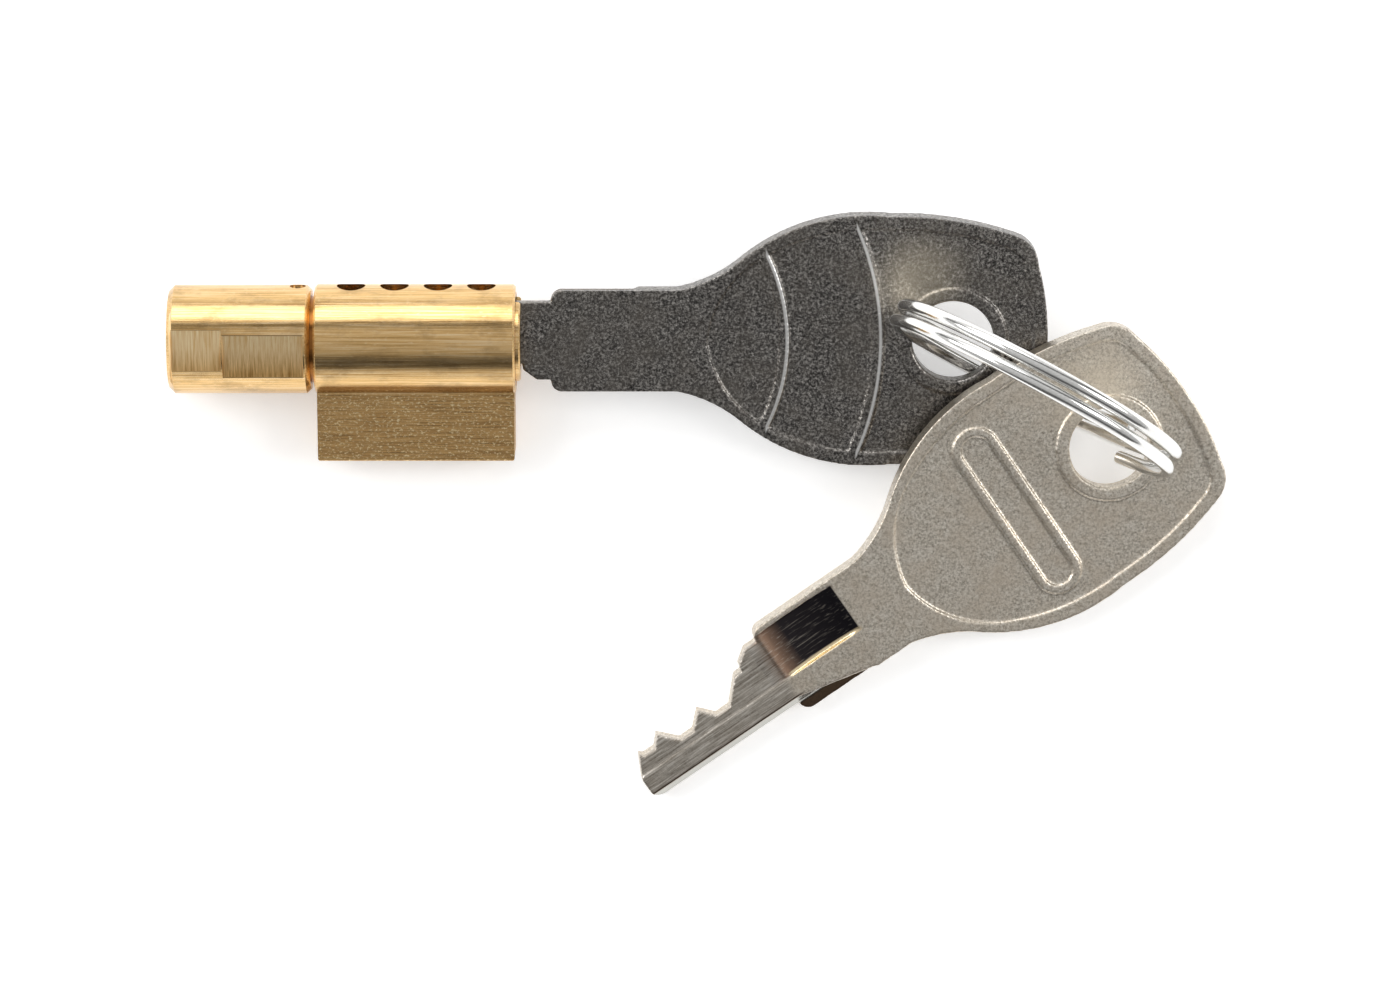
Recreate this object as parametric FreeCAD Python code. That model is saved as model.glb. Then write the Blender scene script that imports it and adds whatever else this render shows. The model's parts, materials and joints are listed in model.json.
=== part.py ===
import FreeCAD, Part
import math
import os

V = FreeCAD.Vector

# A keyed window lock lying on a table: a profile cylinder with its key in, and a spare key on the ring.
# Millimetres. The origin is on the barrel's axis at the housing's front face, +X leads out of the
# keyway, and +Z is up. Every piece of the cylinder is drawn upright, with the block towards -Y, and is
# then rolled about the barrel's axis until the barrel and one corner of the block touch the table.

# Housing
BARREL_R = 5.0
BARREL_LENGTH = 18.2
BARREL_CHAMFER = 0.2
BLOCK_WIDTH = 4.4
BLOCK_DEPTH = 10.95          # barrel's axis to the block's base
BLOCK_END_SETBACK = 0.15
BLOCK_CORNER_R = 0.3
BORE_R = 3.88
FLANGE_RECESS_R = 4.28
FLANGE_RECESS_DEPTH = 0.8

# Pin chambers, in one row along the barrel
CHAMBER_R = 1.3
CHAMBER_COUNT = 4
CHAMBER_PITCH = 3.94
FIRST_CHAMBER_X = -3.1
CHAMBER_FLOOR_Y = -10.0

# Plug
PLUG_R = 3.85
PLUG_FRONT_X = 0.45
PLUG_REAR_GAP = 0.1          # the plug's rear face lies this far inside the barrel
FLANGE_R = 4.25
END_GAP = 0.05               # axial running clearance at the flange and at the neck
FRONT_EDGE_CHAMFER = 0.15
TAIL_R = 2.4
TAIL_END_X = -27.5
GROOVE_FLOOR_R = 3.35
GROOVE_WIDTH = 2.7

# Nose, the coupling piece pinned to the plug's tail
NOSE_R = 4.95
NOSE_FRONT_X = -18.55
NOSE_END_X = -31.45
NOSE_END_CHAMFER = 0.5
NOSE_FRONT_CHAMFER = 0.4
NECK_R = 3.95
NECK_SUNK = 1.0              # how far the neck is carried into the nose
TAIL_BORE_R = 2.43
NOSE_FLATS = [               # from x, to x, angle turned towards the block, depth
    (NOSE_END_X + 0.45, -26.5, 0.0, 0.4),
    (-26.4, -19.1, 7.0, 0.45),
]
CROSS_PIN_X = -19.75
CROSS_PIN_R = 0.7
CROSS_PIN_LENGTH = 9.3
CROSS_HOLE_R = 0.73

# Pins and springs
PIN_R = 1.25
KEY_PIN_TIP_Y = -1.8
KEY_PIN_BASE_Y = -3.6
KEY_PIN_CONE = 0.6
DRIVER_TOP_Y = -3.93
DRIVER_LENGTH = 2.5
PIN_EDGE_CHAMFER = 0.2
RETAINING_TIP_Y = -3.42
RETAINING_CONE = 0.3
SPRING_R = 0.95
SPRING_WIRE_R = 0.15
SPRING_TURNS = 4.5
SPRING_END_GAP = 0.03

# Key: u runs from the tip to the bow with 0 at the stop, v runs to the spine, w is the thickness
KEY_THICKNESS = 2.0
KEY_STOP_X = 0.5
HOLE_CHAMFER = 0.16
SPINE_V = 3.62
STEM_V = 4.72
STUB_V = -3.6
BLADE_EDGE_V = -2.05
BLADE_TIP_U = -13.1
KEYWAY_CLEARANCE = 0.06
BOW_HOLE_U = 39.2
BOW_HOLE_R = 3.7
HOLE_RIM_R = 4.9
FIELD_DEPTH = 0.22
# the tip's flat end, and the arc from it up to the spine, as its middle and far point
TIP_FLAT_TOP_V = 2.52
TIP_ARC = ((-12.8, 3.27), (-12.1, SPINE_V))
# the arc that leads up to the stem on both sides, and the level it starts from on each
SHOULDER_ARC = ((3.0, 4.45), (3.6, STEM_V))
SPINE_SHOULDER_V = 3.87
CUT_SHOULDER_V = 3.8
# the stop that meets the plug, from the shoulder to the blade
STOP_OUTLINE = [(2.7, STUB_V), (1.4, STUB_V), (0.15, -2.65), (0.05, BLADE_EDGE_V)]
# the cuts, as u and v, from the stop to the tip
CUT_PROFILE = [
    (-0.7, BLADE_EDGE_V),
    (-2.7, 0.1), (-4.1, 0.1), (-5.3, -1.3),
    (-6.7, 0.1), (-8.1, 0.1), (-9.6, -1.6),
    (-10.5, -0.6), (-11.7, -0.6), (-12.0, -1.0),
    (BLADE_TIP_U, 1.2),
]
# half of the bow, as arcs from the stem to the end; each arc gives its middle and its far point
BOW_START = (14.2, STEM_V)
BOW_ARCS = [
    ((17.2, 5.75), (20.2, 7.75)),
    ((26.2, 10.9), (33.5, 11.55)),
    ((39.4, 11.15), (44.6, 9.85)),
    ((46.2, 8.85), (46.9, 7.1)),
    ((47.6, 3.6), (47.8, 0.0)),
]
# half of the sunk field, as arcs from its end by the stem to its end by the hole
FIELD_START = (16.8, 0.0)
FIELD_ARCS = [
    ((18.8, 5.0), (22.8, 8.3)),
    ((27.8, 10.05), (33.5, 10.4)),
    ((39.4, 9.95), (43.9, 8.8)),
    ((45.2, 7.9), (45.75, 6.4)),
    ((46.4, 3.1), (46.55, 0.0)),
]
BAND_CENTRE_U = 5.8
BANDS = [(18.1, 0.85), (26.6, 1.05)]      # radius, width
OBLONG_U = 29.0
OBLONG_HALF_LENGTH = 9.0
OBLONG_HALF_WIDTH = 2.15
OBLONG_RIDGE = 0.75
SCOOP_U = 7.0
SCOOP_R = 16.0
SCOOP_DEPTH = 0.55
SCOOP_V = (-4.2, 0.9)
BLADE_STEP = 0.12
BLADE_STEP_END_U = 3.0
BEVEL_WIDTH = 0.8
BEVEL_DEPTH = 0.95
BEVEL_START_U = 2.6          # where the bevel starts to run out through the stem's edge
BEVEL_END_U = 10.5
BEVEL_CROSSING_U = 11.0      # where its foot would cross that edge

# The spare key and the ring, where they lie
SPARE_HOLE = V(53.9, -9.7, -0.66)
SPARE_HEADING = 34.3
SPARE_ROLL = 14.6
SPARE_PITCH = 2.6
RING_R = 13.8
RING_WIRE_R = 0.62
RING_PITCH = 1.5
RING_START_ANGLE = -44.0
RING_TURNS = 2.14
RING_CENTRE = V(46.83, -4.36, 10.04)
RING_HEADING = -27.5
RING_LEAN = 2.3

ROLL = math.degrees(
    math.asin(BARREL_R / math.hypot(BLOCK_DEPTH, BLOCK_WIDTH / 2))
    - math.atan2(BLOCK_WIDTH / 2, BLOCK_DEPTH)
)
X_AXIS = V(1, 0, 0)
Y_AXIS = V(0, 1, 0)
Z_AXIS = V(0, 0, 1)
REACH = 20.0                 # longer than any cutting tool needs
OVERCUT = 1.0                # how far a shallow cutting tool stands proud of the face it cuts


def chamber_x(index):
    return FIRST_CHAMBER_X - CHAMBER_PITCH * index


def rod_x(radius, start, end):
    return Part.makeCylinder(radius, end - start, V(start, 0, 0), X_AXIS)


def rod_y(radius, x, low, high):
    return Part.makeCylinder(radius, high - low, V(x, low, 0), Y_AXIS)


def block(low, high):
    return Part.makeBox(high.x - low.x, high.y - low.y, high.z - low.z, low)


def circles_at(shape, x, radius):
    """The round edges of a shape that lie at x with this radius about the barrel's axis."""
    found = []
    for edge in shape.Edges:
        curve = edge.Curve
        if isinstance(curve, Part.Circle) and abs(curve.Center.x - x) < 1e-6:
            if abs(curve.Radius - radius) < 1e-6:
                found.append(edge)
    return found


def lay_down(shape):
    """Roll an upright piece of the cylinder about the barrel's axis onto the table."""
    return shape.rotated(V(), X_AXIS, ROLL)


def housing():
    barrel = rod_x(BARREL_R, -BARREL_LENGTH, 0)
    ends = circles_at(barrel, 0, BARREL_R) + circles_at(barrel, -BARREL_LENGTH, BARREL_R)
    barrel = barrel.makeChamfer(BARREL_CHAMFER, ends)
    foot = block(
        V(-BARREL_LENGTH + BLOCK_END_SETBACK, -BLOCK_DEPTH, -BLOCK_WIDTH / 2),
        V(-BLOCK_END_SETBACK, 0, BLOCK_WIDTH / 2),
    )
    low_edges = [e for e in foot.Edges if e.BoundBox.YMax < -BLOCK_DEPTH + 1e-6]
    foot = foot.makeFillet(BLOCK_CORNER_R, low_edges)
    body = barrel.fuse(foot).removeSplitter()
    body = body.cut(rod_x(BORE_R, -BARREL_LENGTH, 0))
    body = body.cut(rod_x(FLANGE_RECESS_R, -FLANGE_RECESS_DEPTH, 0))
    for index in range(CHAMBER_COUNT):
        body = body.cut(rod_y(CHAMBER_R, chamber_x(index), CHAMBER_FLOOR_Y, BARREL_R))
    return body


def plug():
    rear = -BARREL_LENGTH + PLUG_REAR_GAP
    core = rod_x(PLUG_R, rear, PLUG_FRONT_X)
    core = core.makeChamfer(FRONT_EDGE_CHAMFER, circles_at(core, PLUG_FRONT_X, PLUG_R))
    core = core.fuse(rod_x(FLANGE_R, -FLANGE_RECESS_DEPTH + END_GAP, -END_GAP))
    core = core.fuse(rod_x(TAIL_R, TAIL_END_X, rear + END_GAP))
    groove_x = chamber_x(CHAMBER_COUNT - 1)
    groove = rod_x(PLUG_R + END_GAP, groove_x - GROOVE_WIDTH / 2, groove_x + GROOVE_WIDTH / 2)
    core = core.cut(groove.cut(rod_x(GROOVE_FLOOR_R, groove_x - GROOVE_WIDTH, groove_x + GROOVE_WIDTH)))
    half = KEY_THICKNESS / 2 + KEYWAY_CLEARANCE
    keyway = block(
        V(BLADE_TIP_U + KEY_STOP_X - KEYWAY_CLEARANCE, BLADE_EDGE_V - KEYWAY_CLEARANCE, -half),
        V(REACH, REACH, half),
    )
    core = core.cut(keyway)
    for index in range(CHAMBER_COUNT - 1):
        core = core.cut(rod_y(CHAMBER_R, chamber_x(index), -REACH, 0))
    return core.cut(rod_y(CROSS_HOLE_R, CROSS_PIN_X, -REACH, REACH))


def nose():
    body = rod_x(NOSE_R, NOSE_END_X, NOSE_FRONT_X)
    body = body.makeChamfer(NOSE_END_CHAMFER, circles_at(body, NOSE_END_X, NOSE_R))
    body = body.makeChamfer(NOSE_FRONT_CHAMFER, circles_at(body, NOSE_FRONT_X, NOSE_R))
    body = body.fuse(rod_x(NECK_R, NOSE_FRONT_X - NECK_SUNK, -BARREL_LENGTH - END_GAP))
    body = body.cut(rod_x(TAIL_BORE_R, TAIL_END_X - END_GAP, 0))
    for start, end, angle, depth in NOSE_FLATS:
        cutter = block(V(start, -REACH, NOSE_R - depth), V(end, REACH, REACH))
        body = body.cut(cutter.rotated(V(), X_AXIS, angle))
    return body.cut(rod_y(CROSS_HOLE_R, CROSS_PIN_X, -REACH, REACH))


def cross_pin():
    return rod_y(CROSS_PIN_R, CROSS_PIN_X, -CROSS_PIN_LENGTH / 2, CROSS_PIN_LENGTH / 2)


def turned_pin(index, base_y, tip_y, tip_cone, base_cone):
    """A round pin in its chamber, with a cone at the plug's end and a chamfer at the other."""
    cone_r = PIN_R - tip_cone
    base_r = PIN_R - base_cone
    x = chamber_x(index)
    middle = rod_y(PIN_R, x, base_y + base_cone, tip_y - tip_cone)
    top = Part.makeCone(PIN_R, cone_r, tip_cone, V(x, tip_y - tip_cone, 0), Y_AXIS)
    low = Part.makeCone(base_r, PIN_R, base_cone, V(x, base_y, 0), Y_AXIS)
    return middle.fuse([top, low]).removeSplitter()


def coil(radius, wire_radius, pitch, turns):
    """A wire coil about +Z that starts on the X axis."""
    path = Part.makeHelix(pitch, pitch * turns, radius)
    slope = V(0, 2 * math.pi * radius, pitch)
    section = Part.Wire(Part.makeCircle(wire_radius, V(radius, 0, 0), slope))
    return Part.Wire(path).makePipeShell([section], True, True)


def chamber_spring(index, top_y):
    low = CHAMBER_FLOOR_Y + SPRING_END_GAP + SPRING_WIRE_R
    high = top_y - SPRING_END_GAP - SPRING_WIRE_R
    spring = coil(SPRING_R, SPRING_WIRE_R, (high - low) / SPRING_TURNS, SPRING_TURNS)
    spring.rotate(V(), X_AXIS, -90)
    spring.translate(V(chamber_x(index), low, 0))
    return spring


def arcs_from(start, arcs, side):
    """Edges through a chain of arcs on one side of the key, side being 1 or -1."""
    edges = []
    here = V(start[0], start[1] * side, 0)
    for middle, end in arcs:
        there = V(end[0], end[1] * side, 0)
        edges.append(Part.Arc(here, V(middle[0], middle[1] * side, 0), there).toShape())
        here = there
    return edges


def line_chain(points):
    corners = [V(u, v, 0) for u, v in points]
    return [Part.LineSegment(a, b).toShape() for a, b in zip(corners, corners[1:])]


def slab(edges, low, high):
    """A flat plate with this outline, from one height to another."""
    face = Part.Face(Part.Wire(Part.__sortEdges__(edges)))
    face.translate(V(0, 0, low))
    return face.extrude(V(0, 0, high - low))


def key_blank():
    """The key's whole outline, cuts and all, at full thickness."""
    foot = STOP_OUTLINE[0][0]
    tip_flat = (BLADE_TIP_U, TIP_FLAT_TOP_V)
    edges = line_chain([CUT_PROFILE[-1], tip_flat])
    edges += arcs_from(tip_flat, [TIP_ARC], 1)
    edges += line_chain([TIP_ARC[1], (foot, SPINE_V), (foot, SPINE_SHOULDER_V)])
    edges += arcs_from((foot, SPINE_SHOULDER_V), [SHOULDER_ARC], 1)
    edges += line_chain([SHOULDER_ARC[1], BOW_START])
    edges += arcs_from(BOW_START, BOW_ARCS, 1) + arcs_from(BOW_START, BOW_ARCS, -1)
    edges += line_chain([(SHOULDER_ARC[1][0], -STEM_V), (BOW_START[0], -STEM_V)])
    edges += arcs_from((foot, CUT_SHOULDER_V), [SHOULDER_ARC], -1)
    edges += line_chain([(foot, -CUT_SHOULDER_V)] + STOP_OUTLINE + CUT_PROFILE)
    return slab(edges, -KEY_THICKNESS / 2, KEY_THICKNESS / 2)


def upright_tube(u, outer, inner):
    tube = Part.makeCylinder(outer, REACH, V(u, 0, -REACH / 2))
    return tube.cut(Part.makeCylinder(inner, REACH, V(u, 0, -REACH / 2)))


def oblong(half_length, half_width):
    """A bar with round ends that lies across the key."""
    straight = half_length - half_width
    bar = block(
        V(OBLONG_U - half_width, -straight, -REACH / 2),
        V(OBLONG_U + half_width, straight, REACH / 2),
    )
    ends = [
        Part.makeCylinder(half_width, REACH, V(OBLONG_U, side * straight, -REACH / 2))
        for side in (-1, 1)
    ]
    return bar.fuse(ends).removeSplitter()


def sunk_field(side, ridges):
    """What is sunk into one face of the bow: the field inside the rim, less its raised lines."""
    floor = KEY_THICKNESS / 2 - FIELD_DEPTH
    edges = arcs_from(FIELD_START, FIELD_ARCS, 1) + arcs_from(FIELD_START, FIELD_ARCS, -1)
    field = slab(edges, side * floor, side * (floor + OVERCUT))
    for ridge in ridges:
        field = field.cut(ridge)
    return field


def key():
    body = key_blank()
    hole_rim = Part.makeCylinder(HOLE_RIM_R, REACH, V(BOW_HOLE_U, 0, -REACH / 2))
    bands = [upright_tube(BAND_CENTRE_U, r + w / 2, r - w / 2) for r, w in BANDS]
    inner = oblong(OBLONG_HALF_LENGTH - OBLONG_RIDGE, OBLONG_HALF_WIDTH - OBLONG_RIDGE)
    loop = oblong(OBLONG_HALF_LENGTH, OBLONG_HALF_WIDTH).cut(inner)
    body = body.cut(sunk_field(1, [hole_rim] + bands))
    body = body.cut(sunk_field(-1, [hole_rim, loop]))
    body = body.cut(Part.makeCylinder(BOW_HOLE_R, REACH, V(BOW_HOLE_U, 0, -REACH / 2)))
    hole_edges = [
        e for e in body.Edges
        if isinstance(e.Curve, Part.Circle) and abs(e.Curve.Radius - BOW_HOLE_R) < 1e-6
    ]
    body = body.makeChamfer(HOLE_CHAMFER, hole_edges)
    face = -KEY_THICKNESS / 2
    scoop_centre = V(SCOOP_U, SCOOP_V[0], face + SCOOP_DEPTH - SCOOP_R)
    scoop = Part.makeCylinder(SCOOP_R, SCOOP_V[1] - SCOOP_V[0], scoop_centre, Y_AXIS)
    body = body.cut(scoop)
    step = block(V(-REACH, -REACH, face - OVERCUT), V(BLADE_STEP_END_U, SCOOP_V[1], face + BLADE_STEP))
    body = body.cut(step)
    return body.cut(spine_bevel(face))


def spine_bevel(face):
    """The bevel along the spine, which runs out through the edge of the stem."""
    foot = SPINE_V - BEVEL_WIDTH
    outer = STEM_V + OVERCUT
    top = face + (outer - foot) * BEVEL_DEPTH / BEVEL_WIDTH
    corners = [(foot, face), (outer, top), (outer, face - OVERCUT), (foot, face - OVERCUT), (foot, face)]
    section = Part.makePolygon([V(-REACH, v, w) for v, w in corners])
    bevel = Part.Face(section).extrude(V(REACH + BEVEL_END_U, 0, 0))
    below = block(V(BEVEL_START_U, foot, face + BEVEL_DEPTH), V(REACH, outer, face + REACH))
    start = (BEVEL_START_U, foot)
    run_out = [start, (BEVEL_CROSSING_U, STEM_V), (BEVEL_CROSSING_U, foot), start]
    kept = Part.makePolygon([V(u, v, face - 2 * OVERCUT) for u, v in run_out])
    return bevel.cut(below).cut(Part.Face(kept).extrude(V(0, 0, REACH)))


def key_in_plug():
    return lay_down(key().translated(V(KEY_STOP_X, 0, 0)))


def spare_key():
    """The spare key, turned over, across the first one's bow."""
    shape = key().translated(V(-BOW_HOLE_U, 0, 0))
    shape.rotate(V(), X_AXIS, 180 + SPARE_ROLL)
    shape.rotate(V(), Y_AXIS, -SPARE_PITCH)
    shape.rotate(V(), Z_AXIS, SPARE_HEADING)
    return shape.translated(SPARE_HOLE)


def split_ring():
    """The ring stands on edge through both bows, its coils side by side along its axis."""
    ring = coil(RING_R, RING_WIRE_R, RING_PITCH, RING_TURNS)
    ring = ring.mirror(V(), Z_AXIS)
    ring.rotate(V(), Z_AXIS, RING_START_ANGLE)
    ring.translate(V(0, 0, RING_PITCH * RING_TURNS / 2))
    ring.rotate(V(), X_AXIS, 90 - RING_LEAN)
    ring.rotate(V(), Z_AXIS, RING_HEADING)
    return ring.translated(RING_CENTRE)


def build():
    retainer = CHAMBER_COUNT - 1
    driver_base = DRIVER_TOP_Y - DRIVER_LENGTH
    upright = {
        "housing": housing(),
        "plug": plug(),
        "nose": nose(),
        "nose_pin": cross_pin(),
        "retaining_pin": turned_pin(
            retainer, driver_base, RETAINING_TIP_Y, RETAINING_CONE, PIN_EDGE_CHAMFER
        ),
        "retaining_spring": chamber_spring(retainer, driver_base),
    }
    for index in range(CHAMBER_COUNT - 1):
        number = index + 1
        upright[f"key_pin_{number}"] = turned_pin(
            index, KEY_PIN_BASE_Y, KEY_PIN_TIP_Y, KEY_PIN_CONE, PIN_EDGE_CHAMFER
        )
        upright[f"driver_pin_{number}"] = turned_pin(
            index, driver_base, DRIVER_TOP_Y, PIN_EDGE_CHAMFER, PIN_EDGE_CHAMFER
        )
        upright[f"driver_spring_{number}"] = chamber_spring(index, driver_base)
    parts = {name: lay_down(shape) for name, shape in upright.items()}
    parts["main_key"] = key_in_plug()
    parts["spare_key"] = spare_key()
    parts["split_ring"] = split_ring()
    return parts


os.makedirs("parts", exist_ok=True)
for name, shape in build().items():
    shape.exportStep(f"parts/{name}.step")
    print(name, shape.isValid(), len(shape.Solids), round(shape.Volume, 2))
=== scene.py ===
import json
import math

import bpy
from mathutils import Matrix, Vector


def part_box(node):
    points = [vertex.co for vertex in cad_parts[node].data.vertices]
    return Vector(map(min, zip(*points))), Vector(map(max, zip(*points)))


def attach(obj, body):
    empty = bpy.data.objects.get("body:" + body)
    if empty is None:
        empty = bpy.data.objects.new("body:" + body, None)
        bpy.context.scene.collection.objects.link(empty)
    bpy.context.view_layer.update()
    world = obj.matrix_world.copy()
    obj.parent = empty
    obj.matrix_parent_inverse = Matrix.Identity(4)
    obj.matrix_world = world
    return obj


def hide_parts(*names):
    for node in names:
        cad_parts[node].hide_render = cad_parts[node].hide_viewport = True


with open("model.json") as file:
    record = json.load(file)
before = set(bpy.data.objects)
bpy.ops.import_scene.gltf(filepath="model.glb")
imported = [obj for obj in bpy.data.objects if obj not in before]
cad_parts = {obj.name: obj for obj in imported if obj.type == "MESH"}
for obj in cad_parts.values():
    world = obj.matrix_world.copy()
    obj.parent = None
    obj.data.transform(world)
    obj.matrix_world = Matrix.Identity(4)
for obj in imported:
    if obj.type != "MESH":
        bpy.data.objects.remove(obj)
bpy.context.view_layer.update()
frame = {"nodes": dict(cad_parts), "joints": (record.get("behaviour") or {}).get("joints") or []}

MM = 0.001
# the ring's swivel axis is the lock's own upright, so it shows how far the cylinder has rolled over
ring_swivel = next(joint for joint in frame["joints"] if joint["name"] == "ring_swivel")
ROLL = math.atan2(-ring_swivel["axis"][1], ring_swivel["axis"][2])
FLOOR_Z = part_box("housing")[0].z

# for each key, a point of it in millimetres, how the key is turned, and how far along it the point is;
# the main key's point is its stop, and the spare key's is its bow hole
MAIN_PLACE = ((0.5, 0.0, 0.0), (ROLL, 0.0, 0.0), 0.0)
SPARE_PLACE = ((53.9, -9.7, -0.66), tuple(math.radians(angle) for angle in (194.6, -2.6, 34.3)), 39.2)


# --- node helpers: places and sizes on a surface are in millimetres -----------------------------------

SOFT_EDGE = 0.05         # how far a region's border fades, on each side of it
MIX_COLOURS = (6, 7)     # a Mix node's two colours, by number because its sockets share their names
MIX_RESULT = 2           # and its mixed colour


def new_material(name):
    material = bpy.data.materials.new(name)
    material.use_nodes = True
    tree = material.node_tree
    return material, tree, tree.nodes["Principled BSDF"]


def add(tree, kind, inputs=None, **settings):
    """Adds a node, sets its properties, and sets or links its inputs by name or number."""
    node = tree.nodes.new("ShaderNode" + kind)
    for key, value in settings.items():
        setattr(node, key, value)
    for key, value in (inputs or {}).items():
        if isinstance(value, bpy.types.NodeSocket):
            tree.links.new(value, node.inputs[key])
        else:
            node.inputs[key].default_value = value
    return node


def millimetres(tree, turn=(0.0, 0.0, 0.0)):
    """The object's own coordinates in millimetres, turned so that a piece lies along the axes."""
    source = add(tree, "TexCoord").outputs["Object"]
    return add(tree, "Mapping", {"Vector": source, "Scale": (1 / MM,) * 3, "Rotation": turn}).outputs[0]


def coordinates(tree, where, letters="xyz"):
    """The three coordinates of a place, under these letters."""
    return dict(zip(letters, add(tree, "SeparateXYZ", {0: where}).outputs))


def radius_about(tree, where, centre, across):
    """Distance from an axis through the centre; across is 0 along the axis and 1 at right angles to it."""
    away = add(tree, "VectorMath", {0: where, 1: centre}, operation="SUBTRACT").outputs[0]
    flat = add(tree, "Mapping", {"Vector": away, "Scale": across}).outputs[0]
    return add(tree, "VectorMath", {0: flat}, operation="LENGTH").outputs["Value"]


def noise(tree, where, scale=1.0, stretch=(1.0, 1.0, 1.0), detail=4.0, rough=0.6):
    """Noise with this many features to the millimetre, times the stretch along each axis."""
    squeezed = add(tree, "Mapping", {"Vector": where, "Scale": stretch}).outputs[0]
    inputs = {"Vector": squeezed, "Scale": scale, "Detail": detail, "Roughness": rough}
    return add(tree, "TexNoise", inputs).outputs["Fac"]


def ramp(tree, factor, stops):
    """A colour ramp; stops are (position, colour)."""
    node = add(tree, "ValToRGB", {"Fac": factor})
    elements = node.color_ramp.elements
    while len(elements) < len(stops):
        elements.new(0.5)
    for element, (position, colour) in zip(elements, stops):
        element.position = position
        element.color = (*colour, 1.0)
    return node.outputs["Color"]


def grey_ramp(tree, factor, span, greys=(0.0, 1.0)):
    """The first grey up to the span's low end, the second from its high end, and a ramp between."""
    return ramp(tree, factor, [(position, (grey,) * 3) for position, grey in zip(span, greys)])


def mix(tree, factor, first, second):
    """The first colour where the factor is 0, and the second where it is 1."""
    node = add(tree, "Mix", {"Factor": factor}, data_type="RGBA")
    for number, value in zip(MIX_COLOURS, (first, second)):
        if isinstance(value, bpy.types.NodeSocket):
            tree.links.new(value, node.inputs[number])
        else:
            node.inputs[number].default_value = (*value, 1.0)
    return node.outputs[MIX_RESULT]


def maths(tree, operation, first, second):
    return add(tree, "Math", {0: first, 1: second}, operation=operation).outputs[0]


def rise(tree, value, start, end):
    """0 before the start and 1 after the end, which may be the lower one; straight between."""
    return add(tree, "MapRange", {"Value": value, "From Min": start, "From Max": end}).outputs[0]


def between(tree, value, low, high, edge=SOFT_EDGE):
    """1 from low to high and 0 beyond, fading over the edge's width on both sides of each."""
    up = rise(tree, value, low - edge, low + edge)
    down = rise(tree, value, high + edge, high - edge)
    return maths(tree, "MULTIPLY", up, down)


def region(tree, values, spans):
    """1 where each value is inside its span, and 0 elsewhere; a span is low, high and perhaps an edge."""
    masks = [between(tree, values[name], *span) for name, span in spans.items()]
    whole = masks[0]
    for mask in masks[1:]:
        whole = maths(tree, "MULTIPLY", whole, mask)
    return whole


def near(tree, where, point, radius, edge):
    """1 within a radius of a point, fading to 0 over the edge's width."""
    away = add(tree, "VectorMath", {0: where, 1: point}, operation="DISTANCE").outputs["Value"]
    inputs = {"Value": away, "From Min": radius + edge, "From Max": radius}
    return add(tree, "MapRange", inputs, interpolation_type="SMOOTHSTEP").outputs[0]


def metal(tree, shader, colour, roughness):
    shader.inputs["Metallic"].default_value = 1.0
    tree.links.new(colour, shader.inputs["Base Color"])
    tree.links.new(roughness, shader.inputs["Roughness"])


def bump(tree, shader, height, depth_mm):
    node = add(tree, "Bump", {"Height": height, "Distance": depth_mm * MM, "Strength": 1.0})
    tree.links.new(node.outputs[0], shader.inputs["Normal"])


# --- brass: x along the barrel, y from the block up through the chambers, z towards the camera --------

BRASS_LIGHT = (0.78, 0.51, 0.22)
BRASS_DEEP = (0.46, 0.27, 0.09)
BRASS_DULL = (0.28, 0.17, 0.07)
BRASS_PALE = (0.88, 0.67, 0.40)
# a darker brown, painted into the neck's groove
BRASS_DARK_BROWN = (0.30, 0.12, 0.03)

BARREL_ENDS_Y = -4.35    # below this the drawn finish goes over into the block's
BLOCK_STARTS_Y = -4.75
BLOCK_DEEP = (0.18, 0.10, 0.036)
BLOCK_MID = (0.50, 0.30, 0.12)
BLOCK_PALE = (0.74, 0.50, 0.22)
BLOCK_SPECK = (1.0, 0.80, 0.46)
BARREL_RELIEF = 0.10     # depth of the barrel's relief, as a share of the block's

NOSE_R = 4.95
FLATS = {"radius": (4.2, NOSE_R - 0.03, 0.01), "x": (-31.2, -19.0), "z": (3.5, 5.0)}
FLATS_SHADE_BELOW_Y = -2.2       # painted shade on the flats below this height, and painted light above the next
FLATS_LIGHT_ABOVE_Y = 0.2
# the flats' colours: a lit copy for painted light, and two shaded copies for painted shade
FLATS_PAINTED_LIGHT = (1.0, 0.82, 0.52)
FLATS_PAINTED_SHADE = (0.90, 0.58, 0.24)
FLATS_PAINTED_SHADE_DEEP = (0.42, 0.23, 0.07)
FLATS_ROUGHNESS = 0.5
NECK = {"radius": (3.6, 4.15), "x": (-18.9, -18.1)}


def drawn_brass(tree, where):
    """The lines drawn along the barrel, and the colour and roughness of stained brass with such lines."""
    lines = noise(tree, where, stretch=(0.12, 9.0, 9.0), detail=6.0, rough=0.65)
    stains = noise(tree, where, 0.45, (0.6, 1.0, 1.0), detail=5.0)
    grit = noise(tree, where, 4.0, (0.5, 1.0, 1.0), rough=0.7)
    colour = ramp(tree, lines, [(0.32, BRASS_DEEP), (0.5, BRASS_LIGHT), (0.68, BRASS_PALE)])
    colour = mix(tree, grey_ramp(tree, stains, (0.50, 0.70), (0.0, 0.5)), colour, BRASS_DULL)
    colour = mix(tree, grey_ramp(tree, grit, (0.58, 0.68), (0.0, 0.5)), colour, BRASS_PALE)
    return lines, colour, grey_ramp(tree, lines, (0.25, 0.75), (0.13, 0.27))


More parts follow.
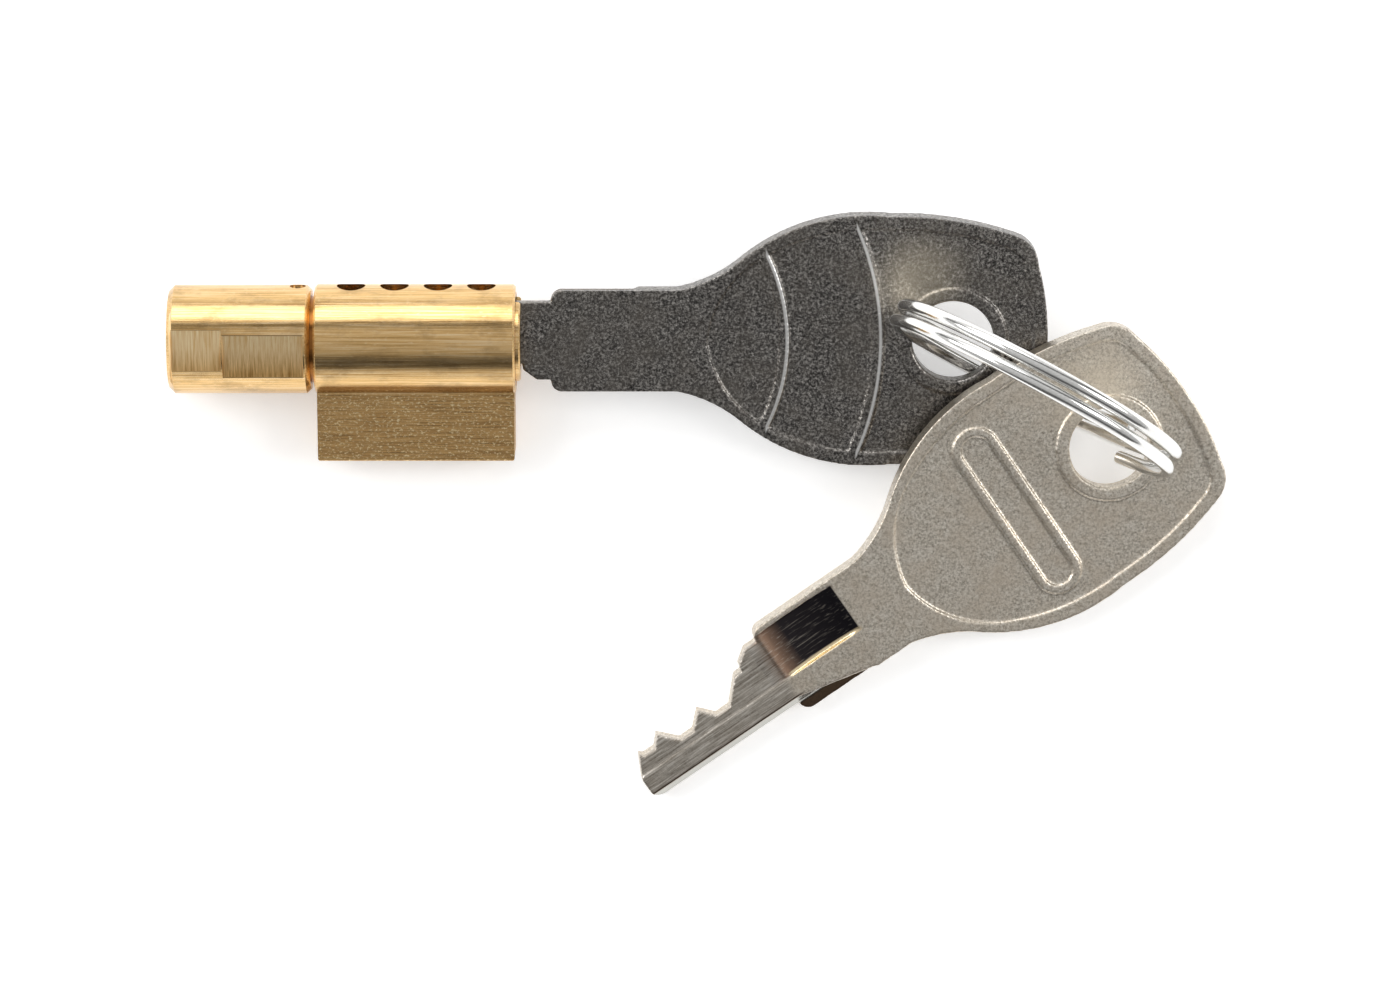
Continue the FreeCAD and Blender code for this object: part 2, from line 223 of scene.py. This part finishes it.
def housing_brass():
    """Drawn barrel, and a block whose milled faces are darker, scored and full of bright specks."""
    material, tree, shader = new_material("housing_brass")
    where = millimetres(tree, (-ROLL, 0.0, 0.0))
    lines, barrel_colour, barrel_rough = drawn_brass(tree, where)
    scores = noise(tree, where, stretch=(0.22, 11.0, 4.0), detail=8.0, rough=0.72)
    grit = noise(tree, where, 4.6, (0.7, 1.1, 1.0), rough=0.75)
    block_colour = ramp(tree, scores, [(0.34, BLOCK_DEEP), (0.5, BLOCK_MID), (0.68, BLOCK_PALE)])
    block_colour = mix(tree, grey_ramp(tree, grit, (0.55, 0.61)), block_colour, BLOCK_SPECK)
    block_rough = grey_ramp(tree, grit, (0.4, 0.65), (0.55, 0.3))

    on_block = rise(tree, coordinates(tree, where)["y"], BARREL_ENDS_Y, BLOCK_STARTS_Y)
    colour = mix(tree, on_block, barrel_colour, block_colour)
    metal(tree, shader, colour, mix(tree, on_block, barrel_rough, block_rough))
    relief = mix(tree, on_block, lines, mix(tree, 0.5, scores, grit))
    share = mix(tree, on_block, (BARREL_RELIEF,) * 3, (1.0,) * 3)
    bump(tree, shader, maths(tree, "MULTIPLY", relief, share), depth_mm=0.05)
    return material


def turned_brass():
    """The nose and the plug: bright drawn brass, cutter marks across the flats with painted shade on their
    lower part and painted light on their higher part, and a dark neck.
    """
    material, tree, shader = new_material("turned_brass")
    where = millimetres(tree, (-ROLL, 0.0, 0.0))
    places = coordinates(tree, where)
    places["radius"] = radius_about(tree, where, (0.0, 0.0, 0.0), (0.0, 1.0, 1.0))
    lines, colour, rough = drawn_brass(tree, where)
    marks = noise(tree, where, stretch=(7.0, 0.3, 2.0), detail=5.0, rough=0.65)

    on_flats = region(tree, places, FLATS)
    # painted light and painted shade: the flats get a lit copy of their colour high up and a shaded copy low
    # down
    bright = ramp(tree, marks, [(0.35, BRASS_LIGHT), (0.65, FLATS_PAINTED_LIGHT)])
    painted_shade = ramp(tree, marks, [(0.35, FLATS_PAINTED_SHADE_DEEP), (0.65, FLATS_PAINTED_SHADE)])
    painted_light_share = rise(tree, places["y"], FLATS_SHADE_BELOW_Y, FLATS_LIGHT_ABOVE_Y)
    colour = mix(tree, on_flats, colour, mix(tree, painted_light_share, painted_shade, bright))
    # the neck's groove is painted a darker brown
    colour = mix(tree, region(tree, places, NECK), colour, BRASS_DARK_BROWN)
    metal(tree, shader, colour, mix(tree, on_flats, rough, (FLATS_ROUGHNESS,) * 3))
    bump(tree, shader, mix(tree, on_flats, lines, marks), depth_mm=0.005)
    return material


def chamber_metal(name, light, dark):
    """A pin or spring, with the tool's rings across the line of the chambers."""
    material, tree, shader = new_material(name)
    rings = noise(tree, millimetres(tree, (-ROLL, 0.0, 0.0)), stretch=(1.0, 12.0, 1.0))
    colour = ramp(tree, rings, [(0.3, dark), (0.7, light)])
    metal(tree, shader, colour, grey_ramp(tree, rings, (0.3, 0.7), (0.2, 0.36)))
    bump(tree, shader, rings, depth_mm=0.004)
    return material


# --- the keys' plate: u from the stop towards the bow, v across to the spine, w through the key -------

LOOPED_FACE = (-1.2, -0.38)     # the face with the oblong loop and the scoop; the other one has the bands
BANDED_FACE = (0.88, 1.2)
BAND_CENTRE = (5.8, 0.0, 0.0)
KEY_PARTS = {
    # the two crest bands are painted highlights: thin white lines along the ridges' edges on the banded face
    "inner crest highlight": {"radius": (18.2, 18.5), "u": (22.2, 25.0), "w": BANDED_FACE},
    "outer crest highlight": {"radius": (26.7, 26.95), "u": (30.4, 33.5), "w": BANDED_FACE},
    "blade": {"u": (-14.0, 2.9, 0.3), "w": LOOPED_FACE},
    "scoop": {"u": (1.6, 11.15), "v": (-4.15, 0.8), "w": LOOPED_FACE},
    "scoop wall": {"u": (3.6, 11.2, 0.3), "v": (0.55, 0.98), "w": LOOPED_FACE},
    "bevel": {"u": (-14.0, 10.6), "v": (2.9, 3.85), "w": (-0.93, -0.02)},
    "bevel foot": {"u": (-14.0, 3.5, 0.5), "v": (2.70, 2.86), "w": LOOPED_FACE},
    "lip": {"u": (2.3, 10.2, 0.4), "v": (3.7, 5.0), "w": (-0.35, 0.5)},
}

# white of the painted highlights along each crest
CREST_HIGHLIGHT_WHITE = (0.97, 0.96, 0.94)
MILLED_DARK = (0.14, 0.12, 0.10)
MILLED_MID = (0.42, 0.38, 0.33)
MILLED_LIGHT = (0.78, 0.74, 0.68)
# painted shade in the scoop, deepening from grey through brown to near black towards the bow, between the
# two u places below
SCOOP_SHADE_GREY = (0.42, 0.37, 0.32)
SCOOP_SHADE_BROWN = (0.30, 0.19, 0.13)
SCOOP_SHADE_DARK = (0.03, 0.026, 0.028)
SCOOP_SHADE_BLACK = (0.022, 0.02, 0.024)
SCOOP_SHADE_START_U = 1.5
SCOOP_SHADE_END_U = 11.5
# painted highlight on the scoop's wall, a warm near-white gold
WALL_HIGHLIGHT_GOLD = (0.98, 0.80, 0.52)
# painted highlight: the spine's bevel is painted one flat grey
BEVEL_HIGHLIGHT_GREY = (0.52, 0.51, 0.47)
BEVEL_SHADOW = (0.09, 0.06, 0.04)
LIP_DARK = (0.03, 0.025, 0.02)
LIP_BROWN = (0.16, 0.10, 0.06)
CREST_HIGHLIGHT_STRENGTH = 0.8
BLADE_STRENGTH = 0.75

GLOW_LIGHT = (0.98, 0.86, 0.66)
GLOW_RADIUS = 1.0
GLOW_EDGE = 4.5
GLOW_STRENGTH = 0.55
PLATE_ROUGHEST = 0.40
POLISHED_ROUGHNESS = 0.16


def key_axes(tree, point, turn, point_u):
    """A key's own axes in millimetres, from a point of it, how the key is turned and the point's u."""
    inputs = {"Vector": millimetres(tree), "Location": point, "Rotation": turn}
    own = add(tree, "Mapping", inputs, vector_type="TEXTURE").outputs[0]
    return add(tree, "Mapping", {"Vector": own, "Location": (point_u, 0.0, 0.0)}).outputs[0]


def plate_colour(tree, where, speckle, clouds, tones, warm, glow_at):
    """Speckled plate with cloudy wear, dark pits and one patch where the light catches it."""
    dark, mid, light = tones
    pits = noise(tree, where, 1.7, detail=5.0, rough=0.7)
    colour = ramp(tree, speckle, [(0.38, dark), (0.5, mid), (0.62, light)])
    colour = mix(tree, grey_ramp(tree, clouds, (0.42, 0.66), (0.0, 0.5)), colour, warm)
    colour = mix(tree, grey_ramp(tree, pits, (0.60, 0.70), (0.0, 0.6)), colour, dark)
    patch = near(tree, where, glow_at, GLOW_RADIUS, GLOW_EDGE)
    glow = mix(tree, speckle, warm, GLOW_LIGHT)
    return mix(tree, maths(tree, "MULTIPLY", patch, GLOW_STRENGTH), colour, glow)


def scoop_colour(tree, u, strokes, milled, scratch):
    """Milled metal at the scoop's blade end, then painted shade that turns browner and then near black
    towards the bow, with pale scratches.
    """
    along = rise(tree, u, SCOOP_SHADE_START_U, SCOOP_SHADE_END_U)
    # painted shade, deepening towards the bow
    scoop_shade = ramp(tree, along, [(0.0, SCOOP_SHADE_GREY), (0.16, SCOOP_SHADE_BROWN), (0.38, SCOOP_SHADE_DARK), (0.9, SCOOP_SHADE_BLACK)])
    scoop_shade = mix(tree, grey_ramp(tree, strokes, (0.56, 0.68), (0.0, 0.35)), scoop_shade, scratch)
    return mix(tree, grey_ramp(tree, along, (0.03, 0.2)), milled, scoop_shade)


def key_nickel(name, place, tones, warm, glow_at, smoothest):
    """Tumbled plate: speckle and wear, a milled blade, a scoop darkened by painted shade, painted highlights
    on each crest, the scoop's wall and the bevelled spine.
    """
    material, tree, shader = new_material(name)
    where = millimetres(tree)
    own = key_axes(tree, *place)
    places = coordinates(tree, own, "uvw")
    places["radius"] = radius_about(tree, own, BAND_CENTRE, (1.0, 1.0, 0.0))
    part = {title: region(tree, places, spans) for title, spans in KEY_PARTS.items()}
    speckle = noise(tree, where, 4.0, detail=6.0, rough=0.85)
    clouds = noise(tree, where, 0.28, detail=5.0, rough=0.65)
    strokes = noise(tree, own, stretch=(0.35, 7.0, 5.0), detail=6.0, rough=0.65)

    milled = ramp(tree, strokes, [(0.35, MILLED_DARK), (0.5, MILLED_MID), (0.65, MILLED_LIGHT)])
    crest_highlights = maths(tree, "MAXIMUM", part["inner crest highlight"], part["outer crest highlight"])
    coats = [
        # painted highlights along each crest
        (maths(tree, "MULTIPLY", crest_highlights, CREST_HIGHLIGHT_STRENGTH), CREST_HIGHLIGHT_WHITE),
        (maths(tree, "MULTIPLY", part["blade"], BLADE_STRENGTH), milled),
        # the scoop: milled metal, then painted shade towards the bow
        (part["scoop"], scoop_colour(tree, places["u"], strokes, milled, tones[1])),
        # painted highlight on the scoop's wall
        (part["scoop wall"], WALL_HIGHLIGHT_GOLD),
        # the spine's bevel painted one flat grey as a painted highlight
        (part["bevel"], BEVEL_HIGHLIGHT_GREY),
        (part["bevel foot"], BEVEL_SHADOW),
        (part["lip"], mix(tree, speckle, LIP_DARK, LIP_BROWN)),
    ]
    colour = plate_colour(tree, where, speckle, clouds, tones, warm, glow_at)
    for mask, coat in coats:
        colour = mix(tree, mask, colour, coat)

    polished = maths(tree, "MAXIMUM", part["bevel"], part["scoop wall"])
    rough = grey_ramp(tree, speckle, (0.35, 0.7), (PLATE_ROUGHEST, smoothest))
    metal(tree, shader, colour, mix(tree, polished, rough, (POLISHED_ROUGHNESS,) * 3))
    relief = maths(tree, "ADD", speckle, maths(tree, "MULTIPLY", clouds, 0.5))
    relief = mix(tree, maths(tree, "MAXIMUM", part["blade"], part["scoop"]), relief, strokes)
    bump(tree, shader, relief, depth_mm=0.02)
    return material


# --- the ring's steel and the floor -------------------------------------------------------------------

RING_SHADE = (0.74, 0.73, 0.70)
RING_SHINE = (0.93, 0.93, 0.92)
FLOOR_GLOW = 0.4
FLOOR_ROUGHNESS = 0.9


def ring_steel():
    """Bright plated wire with fine scratches."""
    material, tree, shader = new_material("ring_steel")
    scratches = noise(tree, millimetres(tree), 4.0, (1.0, 2.5, 1.0), detail=6.0, rough=0.7)
    colour = ramp(tree, scratches, [(0.3, RING_SHADE), (0.7, RING_SHINE)])
    metal(tree, shader, colour, grey_ramp(tree, scratches, (0.35, 0.75), (0.08, 0.2)))
    bump(tree, shader, scratches, depth_mm=0.002)
    return material


def floor_paper():
    """White paper with a faint grain, which glows a little so that it stays white in soft light."""
    material, tree, shader = new_material("floor_paper")
    grain = noise(tree, millimetres(tree), 0.8, detail=6.0)
    paper = grey_ramp(tree, grain, (0.3, 0.7), (0.93, 0.96))
    tree.links.new(paper, shader.inputs["Base Color"])
    tree.links.new(paper, shader.inputs["Emission Color"])
    shader.inputs["Emission Strength"].default_value = FLOOR_GLOW
    shader.inputs["Roughness"].default_value = FLOOR_ROUGHNESS
    return material


# --- pieces -------------------------------------------------------------------------------------------

# the modifiers that round a key over, in order, with their settings
ROUNDING = (
    ("WELD", {"merge_threshold": 0.001 * MM}),
    ("REMESH", {"mode": "VOXEL", "voxel_size": 0.11 * MM}),
    ("SMOOTH", {"factor": 0.5, "iterations": 3}),
    ("DECIMATE", {"ratio": 0.4}),
)

# the split ring, in millimetres and turns of its wire
RING_R = 13.8
RING_WIRE_R = 0.62
RING_PITCH = 1.5
RING_START = math.radians(-44.0)
RING_TURNS = 2.14
RING_TRIM = 0.14          # left off the wire's far end, so that it ends beside its start
RING_TAPER = 0.0015       # length of each end's taper
RING_TIP = 0.78           # the wire's size at its very ends, as a share of its full size
RING_STEPS = 260          # along the wire
RING_SIDES = 20           # round the wire
RING_CREASE = math.radians(35)     # faces that meet at more than this keep a sharp edge
RING_PLACE = (
    Matrix.Translation((46.83, -4.36, 10.04))
    @ Matrix.Rotation(math.radians(-27.5), 4, "Z")
    @ Matrix.Rotation(math.radians(87.7), 4, "X")
)


def new_object(name, data):
    """A mesh, light or camera as an object in the scene."""
    thing = bpy.data.objects.new(name, data)
    bpy.context.scene.collection.objects.link(thing)
    return thing


def coat_mesh(mesh, material):
    mesh.materials.clear()
    mesh.materials.append(material)


def dress(node, material):
    """Gives a CAD node that stays in view its material."""
    coat_mesh(frame["nodes"][node].data, material)


def soft_copy(node, name, body, material):
    """A copy of a stamped key with its edges and ridges rounded over, shown in the CAD node's place."""
    piece = new_object(name, frame["nodes"][node].data.copy())
    for kind, settings in ROUNDING:
        modifier = piece.modifiers.new(kind.lower(), kind)
        for key, value in settings.items():
            setattr(modifier, key, value)
    evaluated = piece.evaluated_get(bpy.context.evaluated_depsgraph_get())
    mesh = bpy.data.meshes.new_from_object(evaluated)
    piece.modifiers.clear()
    piece.data = mesh
    coat_mesh(mesh, material)
    mesh.shade_smooth()
    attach(piece, body)
    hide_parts(node)


def wire_loop(turns, scale):
    """A loop of points round the wire, this many turns along it and at this share of its full size."""
    angle = RING_START + 2 * math.pi * turns
    outward = Vector((math.cos(angle), math.sin(angle), 0.0))
    centre = outward * RING_R + Vector((0.0, 0.0, RING_PITCH * (RING_TURNS / 2 - turns)))
    slope = RING_PITCH / (2 * math.pi)
    forward = Vector((-math.sin(angle) * RING_R, math.cos(angle) * RING_R, -slope)).normalized()
    side = forward.cross(outward)
    points = []
    for number in range(RING_SIDES):
        around = 2 * math.pi * number / RING_SIDES
        reach = outward * math.cos(around) + side * math.sin(around)
        points.append(RING_PLACE @ (centre + reach * RING_WIRE_R * scale) * MM)
    return points


def wire_loops():
    """All the loops of points along the wire, from one tapered end to the other."""
    end = RING_TURNS - RING_TRIM
    full_run = end - 2 * RING_TAPER
    loops = [wire_loop(0.0, RING_TIP)]
    for step in range(RING_STEPS + 1):
        loops.append(wire_loop(RING_TAPER + full_run * step / RING_STEPS, 1.0))
    loops.append(wire_loop(end, RING_TIP))
    return loops


def tube_faces(loop_count, sides):
    """Four-sided faces between each loop and the next, and a cap on each end."""
    faces = []
    for low in range(0, (loop_count - 1) * sides, sides):
        high = low + sides
        for column in range(sides):
            beside = (column + 1) % sides
            faces.append((low + column, low + beside, high + beside, high + column))
    last = (loop_count - 1) * sides
    faces.append(tuple(reversed(range(sides))))
    faces.append(tuple(last + column for column in range(sides)))
    return faces


def ring_wire(material):
    """The split ring's wire, drawn smooth and with softened ends."""
    loops = wire_loops()
    points = [point for loop in loops for point in loop]
    mesh = bpy.data.meshes.new("split_ring_wire")
    mesh.from_pydata(points, [], tube_faces(len(loops), RING_SIDES))
    coat_mesh(mesh, material)
    mesh.shade_smooth()
    mesh.set_sharp_from_angle(angle=RING_CREASE)
    piece = new_object("split_ring_wire", mesh)
    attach(piece, "split_ring")
    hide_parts("split_ring")


nickel_dark = key_nickel(
    "key_nickel_dark", MAIN_PLACE,
    tones=((0.02, 0.019, 0.018), (0.13, 0.122, 0.115), (0.62, 0.59, 0.55)),
    warm=(0.20, 0.18, 0.155), glow_at=(36.6, 5.4, 1.5), smoothest=0.22,
)
nickel_light = key_nickel(
    "key_nickel_light", SPARE_PLACE,
    tones=((0.28, 0.24, 0.19), (0.66, 0.60, 0.51), (0.95, 0.90, 0.81)),
    warm=(0.66, 0.56, 0.44), glow_at=(52.6, -5.0, 2.0), smoothest=0.25,
)
pin_steel = chamber_metal("pin_steel", light=(0.72, 0.71, 0.70), dark=(0.42, 0.41, 0.40))
pin_brass = chamber_metal("pin_brass", light=BRASS_LIGHT, dark=BRASS_DEEP)
spring_steel = chamber_metal("spring_steel", light=(0.66, 0.66, 0.67), dark=(0.40, 0.40, 0.42))
turned = turned_brass()

dress("housing", housing_brass())
dress("plug", turned)
dress("nose", turned)
dress("nose_pin", pin_steel)
dress("retaining_pin", pin_steel)
dress("retaining_spring", spring_steel)
ring_wire(ring_steel())
for chamber in (1, 2, 3):
    dress(f"key_pin_{chamber}", pin_brass)
    dress(f"driver_pin_{chamber}", pin_steel)
    dress(f"driver_spring_{chamber}", spring_steel)
soft_copy("main_key", "main_key_worn", "main_key", nickel_dark)
soft_copy("spare_key", "spare_key_worn", "spare_key", nickel_light)


# --- stage, light and camera, in metres ---------------------------------------------------------------

VIEW_CENTRE = Vector((16.73, -14.64, 0.0)) * MM
VIEW_WIDTH = 127.3 * MM
CAMERA_HEIGHT = 0.55
SENSOR_WIDTH_MM = 36.0
CLIP_START = 0.01
CLIP_END = 10.0
FLOOR_HALF = 1.5
FLOOR_GAP = 0.02 * MM

LAMP_DISTANCE = 1.0
# the direction that each light comes from, its size and its power in watts
LAMPS = {
    "left_light": ((-1.0, 0.3, 0.7), (0.5, 0.7), 3.5),
    "back_light": ((-0.3, 1.0, 0.75), (0.9, 0.6), 3.0),
    "right_light": ((1.0, 0.1, 0.7), (0.4, 0.6), 3.0),
}

# how bright the surroundings are, by the y part of the direction: -1 at the photo's foot, 1 at its head
TENT = (
    (-1.0, 0.85), (-0.96, 0.8), (-0.9, 0.10), (-0.70, 0.12), (-0.52, 0.46), (0.05, 0.6),
    (0.34, 0.66), (0.46, 0.17), (0.64, 0.2), (0.76, 0.8), (1.0, 0.95),
)


def make_floor():
    corners = [(-1, -1), (1, -1), (1, 1), (-1, 1)]
    points = [(x * FLOOR_HALF, y * FLOOR_HALF, FLOOR_Z - FLOOR_GAP) for x, y in corners]
    mesh = bpy.data.meshes.new("floor")
    mesh.from_pydata(points, [], [(0, 1, 2, 3)])
    coat_mesh(mesh, floor_paper())
    floor = new_object("floor", mesh)


def make_world():
    """A light tent round the barrel: bright at the photo's foot and head, with a dark strip beside each."""
    world = bpy.data.worlds.new("studio")
    world.use_nodes = True
    tree = world.node_tree
    shader = tree.nodes["Background"]
    direction = add(tree, "TexCoord").outputs["Generated"]
    from_foot = rise(tree, coordinates(tree, direction)["y"], -1.0, 1.0)
    sky = ramp(tree, from_foot, [(0.5 + 0.5 * y, (level,) * 3) for y, level in TENT])
    tree.links.new(sky, shader.inputs["Color"])
    bpy.context.scene.world = world


def make_lamp(name, direction, size, power):
    """A rectangular light aimed at the middle of the view."""
    light = bpy.data.lights.new(name, "AREA")
    light.shape = "RECTANGLE"
    light.size, light.size_y = size
    light.energy = power
    lamp = new_object(name, light)
    towards = Vector(direction).normalized()
    lamp.location = VIEW_CENTRE + towards * LAMP_DISTANCE
    lamp.rotation_mode = "QUATERNION"
    lamp.rotation_quaternion = towards.to_track_quat("Z", "Y")


def make_camera():
    """A camera straight above, which takes in the view's width at the height of the barrel's axis."""
    data = bpy.data.cameras.new("camera")
    data.sensor_width = SENSOR_WIDTH_MM
    data.lens = SENSOR_WIDTH_MM * CAMERA_HEIGHT / VIEW_WIDTH
    data.clip_start = CLIP_START
    data.clip_end = CLIP_END
    camera = new_object("camera", data)
    camera.location = VIEW_CENTRE + Vector((0.0, 0.0, CAMERA_HEIGHT))
    bpy.context.scene.camera = camera


make_floor()
make_world()
for title, (direction, size, power) in LAMPS.items():
    make_lamp(title, direction, size, power)
make_camera()
bpy.context.scene.view_settings.view_transform = "Standard"
